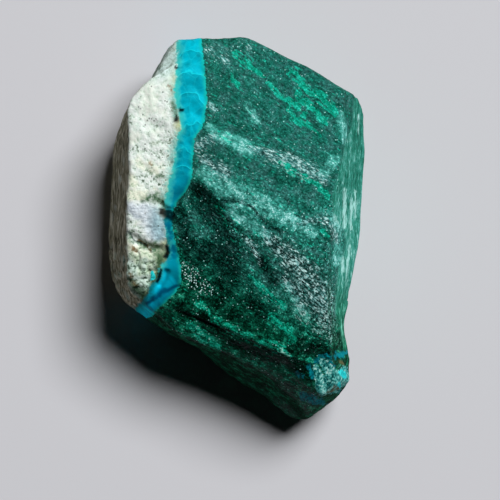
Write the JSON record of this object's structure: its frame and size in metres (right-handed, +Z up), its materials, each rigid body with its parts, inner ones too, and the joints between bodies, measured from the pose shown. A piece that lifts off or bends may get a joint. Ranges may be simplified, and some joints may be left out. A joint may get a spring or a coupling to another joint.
{
  "type": "azurite with malachite specimen",
  "caption": "Rough hand stone of fibrous green malachite crossed by a blue azurite vein, with a pale grainy rock rind, lying on a flat break.",
  "frame": {"origin": "centre of the stone's bounding box, on the surface that it lies on", "axes": "+Z up from the flat break that the stone rests on; +Y along its length, from the blunt tip to the far end; +X from the pale rock rind towards the green side"},
  "size_m": [0.0308, 0.0456, 0.0162],
  "materials": {
    "copper_ore": "Natural stone: silky fibrous dark green malachite that sparkles, a waxy bright blue azurite vein, and a matte pale cream host rock rind that weathers grey-brown"
  },
  "bodies": {
    "root": {"azurite_malachite_stone": "copper_ore"}
  },
  "joints": []
}
